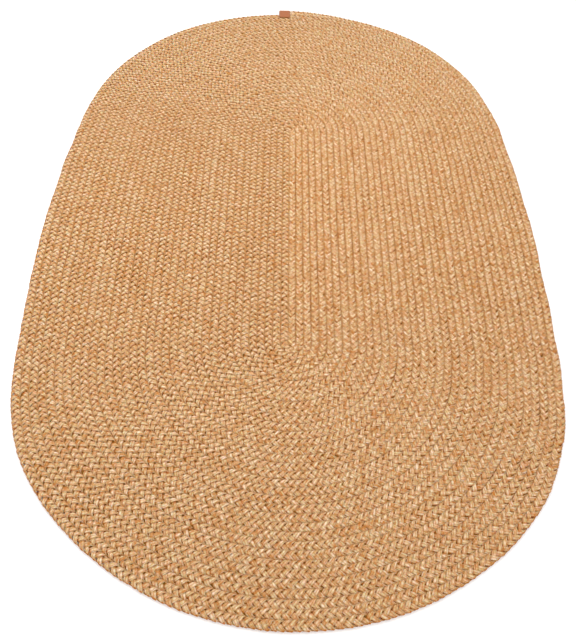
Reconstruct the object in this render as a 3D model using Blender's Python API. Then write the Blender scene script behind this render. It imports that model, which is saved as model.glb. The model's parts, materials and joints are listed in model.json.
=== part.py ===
"""Oval braided rug with a leather end tab, lying flat on the floor.

One long plait is coiled into an oval spiral and sewn edge to edge. The coil starts as a straight
row between two focus points on the rug's centre line, goes anticlockwise seen from above, and ends
under a small leather tab at the middle of the far end.

Metres, +Z up. X runs across the rug and Y along it. The origin is on the floor, under the middle
of the rug's outline.
"""
import math

import bmesh
import bpy
from mathutils import Matrix, Vector

MM = 0.001

# Driving dimensions.
ROW_PITCH = 0.0174  # width of the plait, and so the distance from one row to the next
ROWS = 34  # rows from the centre row out to each long side
FOCUS_GAP = 0.730  # length of the first, straight row, from focus to focus
THICKNESS = 0.009  # floor to the back of a row
GROOVE_HEIGHT = 0.0052  # floor to the bottom of the groove between two rows
BACK_SHARE = 0.46  # the flat part of a row's back, as a share of the row's width
RIM_LOW_HEIGHT = 0.0024  # where the rug's outer side turns in under it
RIM_TURN_IN = 0.0020  # how far the outer side turns in at the floor

# The leather tab, folded over the outer end of the plait.
TAB_WIDTH = 0.035  # along the rim
TAB_TOP_REACH = 0.042  # from the rim inwards, on top
TAB_UNDER_REACH = 0.030  # the same, under the rug
TAB_THICKNESS = 0.0015
TAB_TURN = math.radians(91.8)  # its place on the far arc, counted from the rug's right side
END_UNDER_TAB = 0.015  # how far the plait's end reaches past the tab's middle
END_FLARE = 0.0065  # how much wider the plait is where it is bound off
FLARE_START = math.radians(72.0)  # the flare starts here on the far arc
GAP = 0.0003  # between touching pieces

# Corners of the tab's fold. Columns: outwards from the rim, and height from the leg's own side, in
# mm. The top leg turns down and the lower leg turns up.
TOP_TURN_INSIDE = ((-3.4, 0.0), (-0.8, -1.0), (0.3, -3.2))
TOP_TURN_OUTSIDE = ((1.8, -4.0), (0.2, -1.2), (-2.8, 0.0))
FOOT_TURN_INSIDE = ((0.3, 1.2), (-1.0, 0.0))
FOOT_TURN_OUTSIDE = ((-0.6, 0.0), (1.8, 1.8))

# Steps in the coil.
SIDE_STEPS = 5  # along each straight side
FAR_STEPS_RIGHT = 9  # far arc, from the right side to the tab
FAR_STEPS_LEFT = 8  # far arc, from the tab to the left side
NEAR_STEPS = 18  # near arc

# Where the middle of the coil lies from the middle of the outline.
COIL_MIDDLE = Vector((0.0029, -0.0104, 0.0))

# The outline is a little uneven. Columns: place on the outline and outward shift in mm. Places
# run anticlockwise: 0 to 1 up the right side, 1 to 2 round the far arc, 2 to 3 down the left
# side, 3 to 4 round the near arc. The shift fades to nothing at the centre row.
UNEVEN_OUTLINE = (
    (0.00, -10.0),
    (0.22, -1.0),
    (0.50, 6.0),
    (0.78, 2.0),
    (1.00, -8.0),
    (1.08, -11.0),
    (1.17, -3.0),
    (1.27, 3.0),
    (1.38, 2.0),
    (1.50, 2.5),
    (1.60, 1.0),
    (1.70, 0.0),
    (1.80, -7.0),
    (1.93, -13.0),
    (2.07, -3.0),
    (2.25, 7.0),
    (2.50, 12.0),
    (2.75, 8.0),
    (2.95, -2.0),
    (3.03, -6.5),
    (3.16, 4.0),
    (3.30, -2.0),
    (3.50, -1.0),
    (3.65, 1.0),
    (3.80, 5.0),
    (3.88, -3.0),
    (3.95, -12.5),
)
LAP = 4.0  # the whole way round, in the first column's unit

RUG_COLOUR = (0.665, 0.381, 0.178)
RUG_ROUGHNESS = 0.9
LEATHER_COLOUR = (0.539, 0.212, 0.102)
LEATHER_ROUGHNESS = 0.55
SHARP_ANGLE = math.radians(62.0)

HALF_FOCUS_GAP = FOCUS_GAP / 2
RUG_RADIUS = (ROWS + 0.5) * ROW_PITCH
# The far arcs' centre lies half a row to the left, so that each lap ends one row further out.
FAR_CENTRE = Vector((-ROW_PITCH / 2, HALF_FOCUS_GAP, 0.0))
FAR_RIM_RADIUS = (ROWS + 1) * ROW_PITCH
END_TURN = TAB_TURN + END_UNDER_TAB / FAR_RIM_RADIUS
TAB_RIGHT_TURN = TAB_TURN - 0.5 * TAB_WIDTH / FAR_RIM_RADIUS


def outline_shift(place):
    """Outward shift of the rim in metres, eased between the rows of the table."""
    place %= LAP
    table = UNEVEN_OUTLINE
    for index, (start, shift) in enumerate(table):
        following = table[(index + 1) % len(table)]
        end = following[0] if index + 1 < len(table) else following[0] + LAP
        if start <= place < end:
            share = (place - start) / (end - start)
            eased = share * share * (3 - 2 * share)
            return MM * (shift + (following[1] - shift) * eased)
    raise ValueError("the table starts at place 0")


def lap_stations():
    """The stations of one lap, as (stretch, how far along it)."""
    def spread(start, end, steps):
        return [start + (end - start) * step / steps for step in range(steps)]

    stations = [("right", y) for y in spread(-HALF_FOCUS_GAP, HALF_FOCUS_GAP, SIDE_STEPS)]
    stations += [("far", turn) for turn in spread(0.0, TAB_RIGHT_TURN, FAR_STEPS_RIGHT)]
    stations += [("far", TAB_RIGHT_TURN)]
    stations += [("far", turn) for turn in spread(END_TURN, math.pi, FAR_STEPS_LEFT)]
    stations += [("left", y) for y in spread(HALF_FOCUS_GAP, -HALF_FOCUS_GAP, SIDE_STEPS)]
    stations += [("near", turn) for turn in spread(math.pi, 2 * math.pi, NEAR_STEPS)]
    return stations


STATIONS = lap_stations()
LAP_STEPS = len(STATIONS)
FIRST_FAR = SIDE_STEPS
FIRST_LEFT = LAP_STEPS - NEAR_STEPS - SIDE_STEPS
FIRST_NEAR = LAP_STEPS - NEAR_STEPS
LAST_STEP = ROWS * LAP_STEPS + STATIONS.index(("far", END_TURN))


def coil_point(step, across, height):
    """A point of the coil. across is in rows from the plait's middle, positive outwards."""
    lap, station = divmod(step, LAP_STEPS)
    stretch, along = STATIONS[station]
    if stretch == "right":
        foot, outward = Vector((0.0, along, 0.0)), Vector((1.0, 0.0, 0.0))
        reach = lap * ROW_PITCH
        place = (along + HALF_FOCUS_GAP) / FOCUS_GAP
    elif stretch == "far":
        foot, outward = FAR_CENTRE, Vector((math.cos(along), math.sin(along), 0.0))
        reach = (lap + 0.5) * ROW_PITCH
        place = 1 + along / math.pi
    elif stretch == "left":
        foot, outward = Vector((0.0, along, 0.0)), Vector((-1.0, 0.0, 0.0))
        reach = (lap + 1) * ROW_PITCH
        place = 2 + (HALF_FOCUS_GAP - along) / FOCUS_GAP
    else:
        foot = Vector((0.0, -HALF_FOCUS_GAP, 0.0))
        outward = Vector((math.cos(along), math.sin(along), 0.0))
        reach = (lap + 1) * ROW_PITCH
        place = 2 + along / math.pi
    reach += across * ROW_PITCH
    if lap == ROWS and stretch == "far":
        flare = min(1.0, max(0.0, (along - FLARE_START) / (TAB_RIGHT_TURN - FLARE_START)))
        reach += END_FLARE * flare * (across + 0.5)
    reach += outline_shift(place) * (reach / RUG_RADIUS) ** 2
    return foot + outward * reach + Vector((0.0, 0.0, height)) + COIL_MIDDLE


class CoilMesh:
    """Builds the rug's skin: grooves and row backs along the coil, the rim and the underside."""

    def __init__(self):
        self.bm = bmesh.new()
        self.grooves = {}
        self.backs = {}
        self.rims = {}

    def inner_groove(self, step):
        """The groove on the plait's inner side, which an earlier lap or the start gives."""
        if step >= LAP_STEPS:
            return self.outer_groove(step - LAP_STEPS)
        if FIRST_FAR <= step < FIRST_LEFT:
            step = FIRST_FAR  # the first far arc turns about its own inner edge
        elif FIRST_LEFT <= step <= FIRST_NEAR:
            step = FIRST_NEAR - step  # the first left row lies against the centre row
        if ("start", step) not in self.grooves:
            point = coil_point(step, -0.5, GROOVE_HEIGHT)
            self.grooves["start", step] = self.bm.verts.new(point)
        return self.grooves["start", step]

    def outer_groove(self, step):
        if step not in self.grooves:
            self.grooves[step] = self.bm.verts.new(coil_point(step, 0.5, GROOVE_HEIGHT))
        return self.grooves[step]

    def back(self, step):
        """The two corners of the row's flat back."""
        if step not in self.backs:
            half = BACK_SHARE / 2
            points = (coil_point(step, side, THICKNESS) for side in (-half, half))
            self.backs[step] = [self.bm.verts.new(point) for point in points]
        return self.backs[step]

    def rim(self, step):
        """The two corners under the groove line, on the rug's outer side."""
        if step not in self.rims:
            low = coil_point(step, 0.5, RIM_LOW_HEIGHT)
            floor = coil_point(step, 0.5 - RIM_TURN_IN / ROW_PITCH, 0.0)
            self.rims[step] = [self.bm.verts.new(point) for point in (low, floor)]
        return self.rims[step]

    def face(self, *corners):
        """A face on the corners that differ."""
        different = list(dict.fromkeys(corners))
        self.bm.faces.new(different)

    def strip(self, first, second):
        """Joins two chains of vertices, a face for each pair of neighbours."""
        for index in range(len(first) - 1):
            self.face(first[index], second[index], second[index + 1], first[index + 1])

    def top(self):
        for step in range(LAST_STEP):
            here, there = self.back(step), self.back(step + 1)
            self.strip(
                [self.inner_groove(step), *here, self.outer_groove(step)],
                [self.inner_groove(step + 1), *there, self.outer_groove(step + 1)],
            )

    def start_cap(self):
        """Closes the start of the first row, inside the first near arc."""
        steps = range(FIRST_NEAR, LAP_STEPS + 1)
        arc = [self.inner_groove(step) for step in steps]
        middle = NEAR_STEPS // 2
        inner_back, outer_back = self.back(0)
        for index in range(NEAR_STEPS):
            apex = inner_back if index < middle else outer_back
            self.face(apex, arc[index], arc[index + 1])
        self.face(inner_back, arc[middle], outer_back)

    def side_and_underside(self):
        steps = range(LAST_STEP - LAP_STEPS, LAST_STEP + 1)
        upper = [self.outer_groove(step) for step in steps]
        low = [self.rim(step)[0] for step in steps]
        floor = [self.rim(step)[1] for step in steps]
        self.strip(upper, low)
        self.strip(low, floor)
        self.face(*floor)
        # The end of the last row, under the tab.
        self.face(upper[0], *self.back(LAST_STEP), upper[-1], low[-1], floor[-1], floor[0], low[0])

    def finish(self, name):
        self.top()
        self.start_cap()
        self.side_and_underside()
        bmesh.ops.recalc_face_normals(self.bm, faces=self.bm.faces)
        mesh = bpy.data.meshes.new(name)
        self.bm.to_mesh(mesh)
        self.bm.free()
        return mesh


def principled(name, colour, roughness):
    material = bpy.data.materials.new(name)
    material.use_nodes = True
    shader = material.node_tree.nodes["Principled BSDF"]
    shader.inputs["Base Color"].default_value = (*colour, 1.0)
    shader.inputs["Roughness"].default_value = roughness
    shader.inputs["Metallic"].default_value = 0.0
    return material


def place_object(name, mesh, material=None):
    shaded = bpy.data.objects.new(name, mesh)
    bpy.context.scene.collection.objects.link(shaded)
    mesh.shade_smooth()
    mesh.set_sharp_from_angle(angle=SHARP_ANGLE)
    if material:
        mesh.materials.append(material)
    return shaded


def tab_frame():
    """The tab's own axes: X along the rim, Y outwards, with the rim's radius at Y = 0."""
    rim = coil_point(LAST_STEP, 0.5, 0.0)
    rim_right = coil_point(LAST_STEP - 1, 0.5, 0.0)
    centre = FAR_CENTRE + COIL_MIDDLE
    radius = max((rim - centre).length, (rim_right - centre).length)
    outward = Vector((math.cos(TAB_TURN), math.sin(TAB_TURN), 0.0))
    turn = Matrix.Rotation(TAB_TURN - math.pi / 2, 4, "Z")
    return Matrix.Translation(centre + outward * radius) @ turn


def tab_section():
    """The folded strip from the side, as (outwards, height), round the whole section."""
    def turned(corners, side):
        return [(MM * out, side + MM * height) for out, height in corners]

    inner_top = THICKNESS + GAP
    outer_top = inner_top + TAB_THICKNESS
    inner = [(-TAB_TOP_REACH, inner_top), *turned(TOP_TURN_INSIDE, inner_top)]
    inner += [*turned(FOOT_TURN_INSIDE, TAB_THICKNESS), (-TAB_UNDER_REACH, TAB_THICKNESS)]
    outer = [(-TAB_UNDER_REACH, 0.0), *turned(FOOT_TURN_OUTSIDE, 0.0)]
    outer += [*turned(TOP_TURN_OUTSIDE, outer_top), (-TAB_TOP_REACH, outer_top)]
    return inner + outer


def leather_tab(frame):
    """The strip's section, extruded along the rim."""
    bm = bmesh.new()
    corners = [bm.verts.new((-TAB_WIDTH / 2, out, height)) for out, height in tab_section()]
    side = bm.faces.new(corners)
    swept = bmesh.ops.extrude_face_region(bm, geom=[side], use_keep_orig=True)
    moved = [part for part in swept["geom"] if isinstance(part, bmesh.types.BMVert)]
    bmesh.ops.translate(bm, vec=(TAB_WIDTH, 0.0, 0.0), verts=moved)
    bmesh.ops.transform(bm, matrix=frame, verts=bm.verts)
    bmesh.ops.recalc_face_normals(bm, faces=bm.faces)
    mesh = bpy.data.meshes.new("leather_tab")
    bm.to_mesh(mesh)
    bm.free()
    return place_object("leather_tab", mesh, principled("tan_leather", LEATHER_COLOUR, LEATHER_ROUGHNESS))


def under_tab_cutter(frame):
    """The room that the tab's lower leg presses into the underside."""
    clear = 2 * GAP
    height = TAB_THICKNESS + GAP
    past_rim = 0.010
    depth = TAB_UNDER_REACH + clear + past_rim
    bm = bmesh.new()
    bmesh.ops.create_cube(bm, size=1.0)
    bmesh.ops.scale(bm, vec=(TAB_WIDTH + 2 * clear, depth, 2 * height), verts=bm.verts)
    bmesh.ops.translate(bm, vec=(0.0, past_rim - depth / 2, 0.0), verts=bm.verts)
    bmesh.ops.transform(bm, matrix=frame, verts=bm.verts)
    mesh = bpy.data.meshes.new("under_tab_cutter")
    bm.to_mesh(mesh)
    bm.free()
    cutter = place_object("under_tab_cutter", mesh)
    cutter.hide_render = True
    cutter.display_type = "WIRE"
    return cutter


def braided_rug(cutter):
    rug = place_object(
        "braided_rug",
        CoilMesh().finish("braided_rug"),
        principled("braided_yarn", RUG_COLOUR, RUG_ROUGHNESS),
    )
    notch = rug.modifiers.new("room_under_tab", "BOOLEAN")
    notch.operation = "DIFFERENCE"
    notch.solver = "EXACT"
    notch.object = cutter
    return rug


def main():
    for leftover in list(bpy.data.objects):
        bpy.data.objects.remove(leftover)
    frame = tab_frame()
    braided_rug(under_tab_cutter(frame))
    leather_tab(frame)


main()
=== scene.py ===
"""Looks of the oval braided rug: the plait strand by strand, the leather tab and a white studio.

The plait is three strands of yarn, each a flattened roving. They are swept along the same coil as
the CAD solid's rows. Metres, +Z up, in the CAD frame: X across the rug and Y along it.
"""
import json
import math

import bmesh
import bpy
import numpy as np
from bpy.props import FloatProperty, FloatVectorProperty, IntProperty, PointerProperty
from mathutils import Matrix, Vector

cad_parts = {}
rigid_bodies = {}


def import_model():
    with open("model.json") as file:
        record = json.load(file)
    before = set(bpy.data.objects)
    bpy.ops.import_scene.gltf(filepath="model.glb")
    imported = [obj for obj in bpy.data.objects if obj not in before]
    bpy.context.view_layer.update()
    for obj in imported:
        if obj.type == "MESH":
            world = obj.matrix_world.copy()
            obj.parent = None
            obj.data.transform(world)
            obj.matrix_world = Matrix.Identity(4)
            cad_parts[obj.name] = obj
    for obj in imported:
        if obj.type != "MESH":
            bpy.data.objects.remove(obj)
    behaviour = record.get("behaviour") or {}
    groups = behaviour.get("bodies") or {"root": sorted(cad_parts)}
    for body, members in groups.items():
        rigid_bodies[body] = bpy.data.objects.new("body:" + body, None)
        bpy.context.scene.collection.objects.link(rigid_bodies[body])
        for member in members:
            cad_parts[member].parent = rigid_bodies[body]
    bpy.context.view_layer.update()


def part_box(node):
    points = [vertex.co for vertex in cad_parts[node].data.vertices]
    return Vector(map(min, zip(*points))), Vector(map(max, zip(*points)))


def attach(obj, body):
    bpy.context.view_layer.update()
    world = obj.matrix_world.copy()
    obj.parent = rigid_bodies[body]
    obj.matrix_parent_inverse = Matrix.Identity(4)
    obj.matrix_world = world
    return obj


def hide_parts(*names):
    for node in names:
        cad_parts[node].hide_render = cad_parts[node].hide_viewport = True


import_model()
RUG_LOW, RUG_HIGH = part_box("braided_rug")
TAB_LOW, TAB_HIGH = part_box("leather_tab")

bl_info = {
    "name": "Braided Rug",
    "version": (1, 0, 0),
    "blender": (4, 5, 0),
    "location": "View3D > Sidebar > Rug",
    "description": "Builds an oval braided rug strand by strand, with its leather tab and a studio",
    "category": "Object",
}

MM = 0.001
STRANDS = 3
PLAIT_PIECES = 12  # laps are dealt out to this many meshes in turn

# The rug's outline is a little uneven. Columns: place on the outline and outward shift in mm.
# Places run anticlockwise: 0 to 1 up the right side, 1 to 2 round the far arc, 2 to 3 down the
# left side, 3 to 4 round the near arc.
UNEVEN_OUTLINE = (
    (0.00, -10.0),
    (0.22, -1.0),
    (0.50, 6.0),
    (0.78, 2.0),
    (1.00, -8.0),
    (1.08, -11.0),
    (1.17, -3.0),
    (1.27, 3.0),
    (1.38, 2.0),
    (1.50, 2.5),
    (1.60, 1.0),
    (1.70, 0.0),
    (1.80, -7.0),
    (1.93, -13.0),
    (2.07, -3.0),
    (2.25, 7.0),
    (2.50, 12.0),
    (2.75, 8.0),
    (2.95, -2.0),
    (3.03, -6.5),
    (3.16, 4.0),
    (3.30, -2.0),
    (3.50, -1.0),
    (3.65, 1.0),
    (3.80, 5.0),
    (3.88, -3.0),
    (3.95, -12.5),
    (4.00, -10.0),
)

# One period of a strand, in degrees: on top from the row's middle to its outer edge, under the
# others back to the middle, then the same towards the inner edge. Legs on top have more stations.
PERIOD_STATIONS = (0, 30, 60, 90, 135, 180, 210, 240, 270, 315)

# A strand's section, as shares of its half width and half thickness.
STRAND_SECTION = (
    (1.0, 0.0),
    (0.76, 0.86),
    (-0.76, 0.86),
    (-1.0, 0.0),
    (-0.76, -0.86),
    (0.76, -0.86),
)
SECTION_ROUND = 2.1  # the mean way round it, in strand widths


def linear(hex_colour):
    """An sRGB hex colour as the linear numbers that shaders take."""
    parts = [int(hex_colour[start:start + 2], 16) / 255 for start in (1, 3, 5)]
    return tuple(part / 12.92 if part <= 0.04045 else ((part + 0.055) / 1.055) ** 2.4 for part in parts)


class RugCoilSettings(bpy.types.PropertyGroup):
    """The coil that the plait follows."""

    row_pitch: FloatProperty(
        name="Row pitch", description="Width of the plait, and from row to row",
        default=0.0174, min=0.005, subtype="DISTANCE", precision=4,
    )
    rows: IntProperty(
        name="Rows", description="Rows from the centre row out to each long side", default=34,
    )
    focus_gap: FloatProperty(
        name="First row", description="Length of the first, straight row",
        default=0.730, min=0.0, subtype="DISTANCE",
    )
    start_tuck: FloatProperty(
        name="Start tuck", description="How far the plait's start reaches into the first bend",
        default=0.005, min=0.0, subtype="DISTANCE", precision=4,
    )
    middle: FloatVectorProperty(
        name="Coil middle", description="Where the coil's middle lies from the middle of the outline",
        default=(0.0029, -0.0104), size=2, subtype="XYZ", unit="LENGTH",
    )
    end_turn: FloatProperty(
        name="End", description="Where the plait ends on the far arc, from the rug's right side",
        default=math.radians(93.2), subtype="ANGLE",
    )
    flare: FloatProperty(
        name="End flare", description="How much wider the plait is where it is bound off",
        default=0.0065, min=0.0, subtype="DISTANCE", precision=4,
    )
    flare_start: FloatProperty(
        name="Flare start", description="Where the flare starts on the far arc",
        default=math.radians(72.0), subtype="ANGLE",
    )
    flare_end: FloatProperty(
        name="Flare end", description="Where the flare is full, at the tab's right side",
        default=math.radians(90.15), subtype="ANGLE",
    )


class RugPlaitSettings(bpy.types.PropertyGroup):
    """The three-strand plait."""

    stitch: FloatProperty(
        name="Stitch length", description="From one strand's crossing to the next, along the row",
        default=0.0145, min=0.003, subtype="DISTANCE", precision=4,
    )
    swing: FloatProperty(
        name="Swing", description="How far a strand swings to each side of the row's middle",
        default=0.0083, subtype="DISTANCE", precision=4,
    )
    rise: FloatProperty(
        name="Rise", description="How far a strand rises and dips from mid-height",
        default=0.0021, subtype="DISTANCE", precision=4,
    )
    lead: FloatProperty(
        name="Lead", description="How much earlier a strand dives than it turns at the row's edge",
        default=math.radians(-4.0), subtype="ANGLE",
    )
    strand_width: FloatProperty(
        name="Strand width", description="Width of a flattened strand on a leg",
        default=0.0106, subtype="DISTANCE", precision=4,
    )
    strand_thickness: FloatProperty(
        name="Strand thickness", description="Thickness of a flattened strand on a leg",
        default=0.0050, subtype="DISTANCE", precision=4,
    )
    edge_narrowing: FloatProperty(
        name="Edge narrowing", description="How much narrower a strand is at the row's edge",
        default=0.28, min=0.0, max=0.8, subtype="FACTOR",
    )
    unevenness: FloatProperty(
        name="Unevenness", description="How much width, height and spacing differ along the plait",
        default=0.07, min=0.0, max=0.4, subtype="FACTOR",
    )
    row_wander: FloatProperty(
        name="Row wander", description="How far a row's middle strays to the side",
        default=0.0005, subtype="DISTANCE", precision=5,
    )
    drift: FloatProperty(
        name="Drift", description="How far the stitches stray along the row",
        default=0.0055, subtype="DISTANCE", precision=4,
    )
    seed: IntProperty(name="Seed", description="Starts the random unevenness", default=7)


class RugYarnSettings(bpy.types.PropertyGroup):
    """The yarn's colours and sizes."""

    cream: FloatVectorProperty(
        name="Cream", description="The lightest yarns", default=linear("#e6d0b2"), subtype="COLOR",
    )
    straw: FloatVectorProperty(
        name="Straw", description="The middle tone of most yarns",
        default=linear("#ceb586"), subtype="COLOR",
    )
    blush: FloatVectorProperty(
        name="Blush", description="The middle tone of the other yarns",
        default=linear("#d2a77e"), subtype="COLOR",
    )
    amber: FloatVectorProperty(
        name="Amber", description="The orange-brown yarns",
        default=linear("#b97c42"), subtype="COLOR",
    )
    # Painted shade: the colour that yarn deep between the strands and along the seams between yarns is
    # mixed towards.
    shade: FloatVectorProperty(
        name="Shade", description="Yarn deep between the strands",
        default=linear("#b4660c"), subtype="COLOR",
    )
    # Painted shade: the colour that yarn in the crease between two rows is mixed towards.
    crease_shade_tone: FloatVectorProperty(
        name="Crease tone", description="Yarn where two rows meet",
        default=linear("#a86810"), subtype="COLOR",
    )
    # Painted shade: a darker yarn colour for the inside of the plait, which shows only in the pits.
    ground: FloatVectorProperty(
        name="Ground", description="Yarn inside the plait",
        default=linear("#8f6226"), subtype="COLOR",
    )
    yarns: IntProperty(name="Yarns", description="Yarns round one strand", default=10, min=3)
    twist: FloatProperty(
        name="Twist", description="Turns of the yarns round their strand in a metre", default=1.5,
    )
    heather: FloatProperty(
        name="Heather length", description="Length of one tone along a yarn",
        default=0.009, subtype="DISTANCE", precision=4,
    )
    fibre: FloatProperty(
        name="Fibre length", description="Length of a fine streak along a yarn",
        default=0.006, subtype="DISTANCE", precision=4,
    )
    contrast: FloatProperty(
        name="Heather contrast", description="How much a yarn changes tone along its length",
        default=1.8,
    )
    own_tone: FloatProperty(
        name="Yarn contrast", description="How much the yarns' own tones differ", default=0.35,
    )
    # Strength of the painted shade along the seam between two yarns.
    seam: FloatProperty(
        name="Seam", description="How dark the seam between two yarns is",
        default=0.55, subtype="FACTOR",
    )
    # The crease's painted shade: its strength, its share left on the arcs, where it starts and how ragged
    # its edge is.
    crease: FloatProperty(
        name="Crease", description="How dark the crease between two rows is",
        default=0.55, subtype="FACTOR",
    )
    arc_crease: FloatProperty(
        name="Arc crease", description="Share of the crease that is left on the two arcs",
        default=0.4, subtype="FACTOR",
    )
    crease_start: FloatProperty(
        name="Crease start", description="Where the crease starts, from the row's middle to its edge",
        default=0.5, subtype="FACTOR",
    )
    ragged: FloatProperty(
        name="Crease raggedness", description="How far the crease's edge strays",
        default=0.9, subtype="FACTOR",
    )
    pit_height: FloatProperty(
        name="Pit height", description="Yarn nearer than this to the rug's mid-height is shaded",
        default=0.0030, subtype="DISTANCE", precision=4,
    )


class RugTabSettings(bpy.types.PropertyGroup):
    """The leather tab, a strip folded over the plait's outer end."""

    turn: FloatProperty(
        name="Place", description="Its place on the far arc, from the rug's right side",
        default=math.radians(91.8), subtype="ANGLE",
    )
    width: FloatProperty(name="Width", description="Along the rim", default=0.035, subtype="DISTANCE")
    top_reach: FloatProperty(
        name="Top reach", description="From the rim inwards, on top",
        default=0.042, subtype="DISTANCE",
    )
    under_reach: FloatProperty(
        name="Under reach", description="From the rim inwards, under the rug",
        default=0.030, subtype="DISTANCE",
    )
    thickness: FloatProperty(
        name="Thickness", description="Thickness of the leather",
        default=0.0015, subtype="DISTANCE", precision=4,
    )
    fold_depth: FloatProperty(
        name="Fold depth", description="How far in the fold's curve starts",
        default=0.0040, subtype="DISTANCE", precision=4,
    )
    sink: FloatProperty(
        name="Sink", description="How far its top leg and fold are pressed into the plait",
        default=0.0009, subtype="DISTANCE", precision=4,
    )
    corner: FloatProperty(
        name="Corner", description="Radius of the strip's corners",
        default=0.0028, subtype="DISTANCE", precision=4,
    )
    stitch: FloatProperty(
        name="Stitch", description="From one sewing hole to the next",
        default=0.0032, subtype="DISTANCE", precision=4,
    )
    thread: FloatProperty(
        name="Thread", description="Thickness of the sewing thread",
        default=0.0008, subtype="DISTANCE", precision=4,
    )
    inset: FloatProperty(
        name="Inset", description="From the leather's edge to the stitches",
        default=0.0034, subtype="DISTANCE", precision=4,
    )
    tan: FloatVectorProperty(
        name="Tan", description="The leather", default=linear("#9f561f"), subtype="COLOR",
    )
    edge: FloatVectorProperty(
        name="Edge", description="The leather's burnished edge",
        default=linear("#8a4f30"), subtype="COLOR",
    )
    sewing: FloatVectorProperty(
        name="Sewing", description="The sewing thread", default=linear("#c08a5c"), subtype="COLOR",
    )


class RugStudioSettings(bpy.types.PropertyGroup):
    """Floor, lights and camera."""

    floor: FloatVectorProperty(
        name="Floor", description="The pale floor", default=linear("#fdfdfd"), subtype="COLOR",
    )
    sky_strength: FloatProperty(
        name="Sky", description="Strength of the even light all round", default=1.25,
    )
    lamp_power: FloatProperty(name="Lamp", description="Power of the soft lamp overhead", default=7.0)
    lamp_place: FloatVectorProperty(
        name="Lamp place", description="Where the soft lamp hangs, aimed straight down",
        default=(-0.3, 0.2, 1.3), subtype="XYZ",
    )
    lamp_size: FloatProperty(
        name="Lamp size", description="Side of the soft lamp's square",
        default=0.9, subtype="DISTANCE",
    )
    eye: FloatVectorProperty(
        name="Eye", description="The camera's place",
        default=(-0.0442, -1.2970, 1.3172), subtype="XYZ",
    )
    focal_length: FloatProperty(
        name="Focal length", description="In image heights", default=727 / 642,
    )
    tip: FloatProperty(
        name="Tip", description="How far the camera looks down", default=0.9262, subtype="ANGLE",
    )
    heading: FloatProperty(
        name="Heading", description="The camera's turn to the right",
        default=0.0388, subtype="ANGLE",
    )
    roll: FloatProperty(name="Roll", description="The camera's roll", default=0.0559, subtype="ANGLE")


# The coil and the plait's path.


def eased(share):
    """A share from 0 to 1 that starts and ends gently."""
    return share * share * (3 - 2 * share)


def smooth_step(low, high, values):
    """0 below the low value, 1 above the high one, eased between."""
    return eased(np.clip((values - low) / (high - low), 0.0, 1.0))


def smooth_noise(rng, along, spacing):
    """Seeded noise of about unit size that changes over this spacing."""
    knots = np.arange(-spacing, along[-1] + 3 * spacing, spacing)
    return np.interp(along, knots, rng.normal(size=len(knots)))


def outline_shift(place):
    """Outward shift of the rim in metres at each place, eased between the rows of the table."""
    starts, shifts = np.array(UNEVEN_OUTLINE).T
    place = np.mod(place, starts[-1])
    row = np.searchsorted(starts, place, side="right") - 1
    share = (place - starts[row]) / (starts[row + 1] - starts[row])
    return MM * (shifts[row] + (shifts[row + 1] - shifts[row]) * eased(share))


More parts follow.
